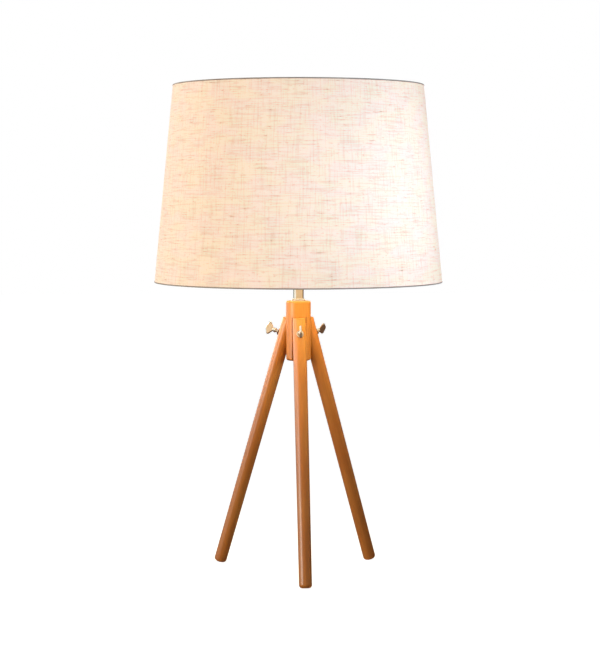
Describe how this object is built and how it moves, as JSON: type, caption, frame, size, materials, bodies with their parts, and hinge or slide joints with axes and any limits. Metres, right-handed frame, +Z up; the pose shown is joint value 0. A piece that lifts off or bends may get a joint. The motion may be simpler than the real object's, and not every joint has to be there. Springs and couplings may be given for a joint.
{
  "type": "tripod table lamp",
  "caption": "Table lamp with tapered beech dowel legs held in a turned hub by chrome wing screws, a short chrome stem and a conical linen shade.",
  "frame": {"origin": "on the floor, on the lamp's own axis, at the centre of the three feet and of the shade", "axes": "+Z up along the lamp's axis; -Y towards the front leg; +X to the right seen from the front"},
  "size_m": [0.3508, 0.3508, 0.5945],
  "materials": {
    "beech": "turned, satin lacquer, fine straight grain",
    "chrome": "polished",
    "brass": "machined, plain",
    "zinc_steel": "zinc plated",
    "nickel": "nickel plated, bright",
    "black_plastic": "moulded, matte",
    "white_plastic": "moulded, satin",
    "steatite": "fired, unglazed",
    "white_wire": "white powder coat",
    "shade_liner": "stiff white liner, matte",
    "linen": "natural linen weave with slubs",
    "rim_tape": "narrow woven tape",
    "opal_glass": "opal, lit from inside"
  },
  "bodies": {
    "stand": {"hub": "beech", "leg_front": "beech", "leg_right": "beech", "leg_left": "beech", "leg_inserts": "brass", "nipple_insert": "brass", "nipple": "zinc_steel", "nipple_nut": "zinc_steel", "cord_bush": "black_plastic", "stem_collar": "chrome", "stem_sleeve": "chrome", "holder_cap": "white_plastic", "holder_core": "steatite", "holder_skirt": "white_plastic", "socket_shell": "brass", "centre_contact": "brass", "terminals": "brass", "terminal_screws": "zinc_steel"},
    "washer_front": {"washer_front": "chrome"},
    "screw_front": {"wing_screw_front": "chrome"},
    "washer_right": {"washer_right": "chrome"},
    "screw_right": {"wing_screw_right": "chrome"},
    "washer_left": {"washer_left": "chrome"},
    "screw_left": {"wing_screw_left": "chrome"},
    "bulb_contact": {"bulb_contact": "nickel"},
    "bulb": {"bulb_insulator": "black_plastic", "bulb_shell": "nickel", "bulb_glass": "opal_glass"},
    "shade_ring": {"shade_ring": "white_plastic"},
    "shade": {"shade_fitter": "white_wire", "shade_arms": "white_wire", "shade_bottom_wire": "white_wire", "shade_top_wire": "white_wire", "shade_liner": "shade_liner", "shade_fabric": "linen", "shade_bottom_tape": "rim_tape", "shade_top_tape": "rim_tape"}
  },
  "joints": [
    {"name": "front_screw_turn", "type": "hinge", "parent": "stand", "child": "washer_front", "pos_m": [0, -0.02601, 0.29424], "axis": [0, -0.9537, 0.3007], "range_deg": [0, 2792]},
    {"name": "front_screw_feed", "type": "slide", "parent": "washer_front", "child": "screw_front", "axis": [0, -0.9537, 0.3007], "range_m": [0, 0.00543]},
    {"name": "right_screw_turn", "type": "hinge", "parent": "stand", "child": "washer_right", "pos_m": [0.02252, 0.013, 0.29424], "axis": [0.8259, 0.4769, 0.3007], "range_deg": [0, 2792]},
    {"name": "right_screw_feed", "type": "slide", "parent": "washer_right", "child": "screw_right", "axis": [0.8259, 0.4769, 0.3007], "range_m": [0, 0.00543]},
    {"name": "left_screw_turn", "type": "hinge", "parent": "stand", "child": "washer_left", "pos_m": [-0.02252, 0.013, 0.29424], "axis": [-0.8259, 0.4769, 0.3007], "range_deg": [-1982, 812]},
    {"name": "left_screw_feed", "type": "slide", "parent": "washer_left", "child": "screw_left", "axis": [-0.8259, 0.4769, 0.3007], "range_m": [-0.00385, 0.00158]},
    {"name": "bulb_lift", "type": "slide", "parent": "stand", "child": "bulb_contact", "axis": [0, 0, 1], "range_m": [0, 0.01634]},
    {"name": "bulb_turn", "type": "hinge", "parent": "bulb_contact", "child": "bulb", "pos_m": [0, 0, 0.394], "axis": [0, 0, 1], "range_deg": [0, 1620]},
    {"name": "shade_ring_lift", "type": "slide", "parent": "stand", "child": "shade_ring", "axis": [0, 0, 1], "range_m": [0, 0.012]},
    {"name": "shade_turn", "type": "hinge", "parent": "stand", "child": "shade", "pos_m": [0, 0, 0.381], "axis": [0, 0, 1], "continuous": true}
  ],
  "couplings": [
    {"joint": "front_screw_turn", "follows": "front_screw_feed", "rad_per_m": 8976},
    {"joint": "right_screw_turn", "follows": "right_screw_feed", "rad_per_m": 8976},
    {"joint": "left_screw_turn", "follows": "left_screw_feed", "rad_per_m": 8976},
    {"joint": "bulb_lift", "follows": "bulb_turn", "m_per_rad": 0.00057751}
  ]
}
